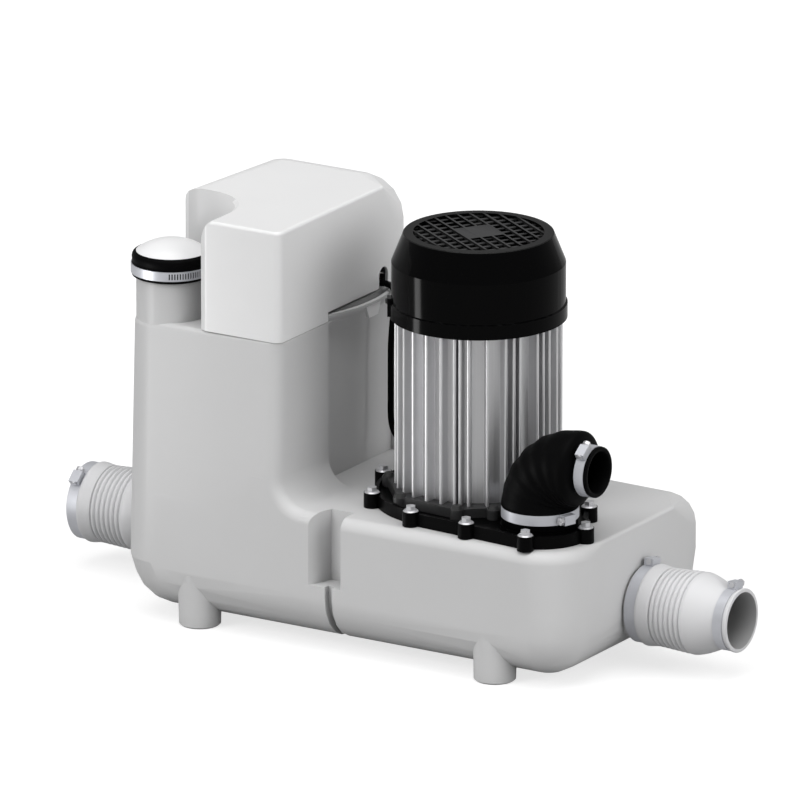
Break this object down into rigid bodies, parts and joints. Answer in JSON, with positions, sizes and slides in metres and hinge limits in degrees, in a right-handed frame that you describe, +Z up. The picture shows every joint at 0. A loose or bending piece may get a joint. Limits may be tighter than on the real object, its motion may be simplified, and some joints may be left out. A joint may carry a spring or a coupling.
{
  "type": "drain pump",
  "caption": "Floor-standing waste water lifting station: moulded tank with ribbed inlet sleeves, finned motor pump, rubber discharge elbow and hooded control tower.",
  "frame": {"origin": "on the floor, at the centre of the whole station's footprint", "axes": "+X along the tank towards the low end that carries the pump, +Y towards the back, +Z up"},
  "size_m": [0.731, 0.264, 0.406],
  "materials": {
    "white_plastic": "satin",
    "hood_plastic": "satin",
    "white_rubber": "satin",
    "black_rubber": "matte",
    "black_plastic": "satin",
    "gloss_black": "gloss",
    "grey_plastic": "satin",
    "switch_plastic": "satin",
    "board": "satin",
    "steel": "satin",
    "band_steel": "satin",
    "dark_steel": "satin",
    "core_steel": "satin",
    "dark_casting": "satin",
    "housing_aluminium": "satin",
    "copper": "satin",
    "ceramic": "matte"
  },
  "bodies": {
    "station": {"tank": "white_plastic", "vent_cap": "white_plastic", "vent_sleeve": "black_rubber", "vent_clamp": "band_steel", "right_sleeve": "white_rubber", "left_sleeve": "white_rubber", "right_wide_clamp": "band_steel", "right_mouth_clamp": "band_steel", "left_wide_clamp": "band_steel", "left_stub_clamp": "band_steel", "discharge_elbow": "black_rubber", "elbow_base_clamp": "band_steel", "elbow_mouth_clamp": "band_steel", "clamp_screws": "steel", "pump_flange": "black_plastic", "flange_gasket": "black_rubber", "flange_screws": "steel", "lower_shield": "dark_casting", "shield_screws": "dark_steel", "motor_housing": "housing_aluminium", "upper_shield": "housing_aluminium", "fan_cover": "gloss_black", "cover_screws": "dark_steel", "stator_core": "core_steel", "stator_windings": "copper", "lower_bearing": "steel", "upper_bearing": "steel", "seal_seat": "ceramic", "volute": "black_plastic", "flap_pin": "steel", "control_tray": "black_plastic", "air_bell": "grey_plastic", "membrane": "black_rubber", "microswitch": "switch_plastic", "circuit_board": "board", "capacitor": "grey_plastic", "terminal_block": "grey_plastic", "mains_gland": "black_plastic", "lead_gland": "black_plastic", "motor_lead": "black_rubber"},
    "rotor": {"shaft": "steel", "rotor_core": "core_steel", "fan": "black_plastic", "impeller": "black_plastic", "impeller_nut": "steel", "seal_ring": "dark_steel"},
    "flap": {"check_flap": "black_rubber"},
    "hood": {"hood": "hood_plastic"},
    "plunger": {"switch_plunger": "grey_plastic"},
    "lever": {"switch_lever": "steel"}
  },
  "joints": [
    {"name": "rotor_spin", "type": "hinge", "parent": "station", "child": "rotor", "pos_m": [0.0865, -0.011, 0.2], "axis": [0, 0, 1], "continuous": true},
    {"name": "flap_swing", "type": "hinge", "parent": "station", "child": "flap", "pos_m": [0.16579, -0.07392, 0.1699], "axis": [0, -1, 0], "range_deg": [0, 50]},
    {"name": "hood_lift", "type": "slide", "parent": "station", "child": "hood", "axis": [0, 0, 1], "range_m": [0, 0.12]},
    {"name": "plunger_travel", "type": "slide", "parent": "station", "child": "plunger", "axis": [0, 0, 1], "range_m": [0, 0.003], "stiffness_N_per_m": 100, "springref_m": -0.001},
    {"name": "lever_swing", "type": "hinge", "parent": "station", "child": "lever", "pos_m": [-0.1375, 0.0235, 0.3297], "axis": [0, -1, 0], "range_deg": [0, 9]}
  ],
  "couplings": [
    {"joint": "lever_swing", "follows": "plunger_travel", "rad_per_m": 50}
  ]
}
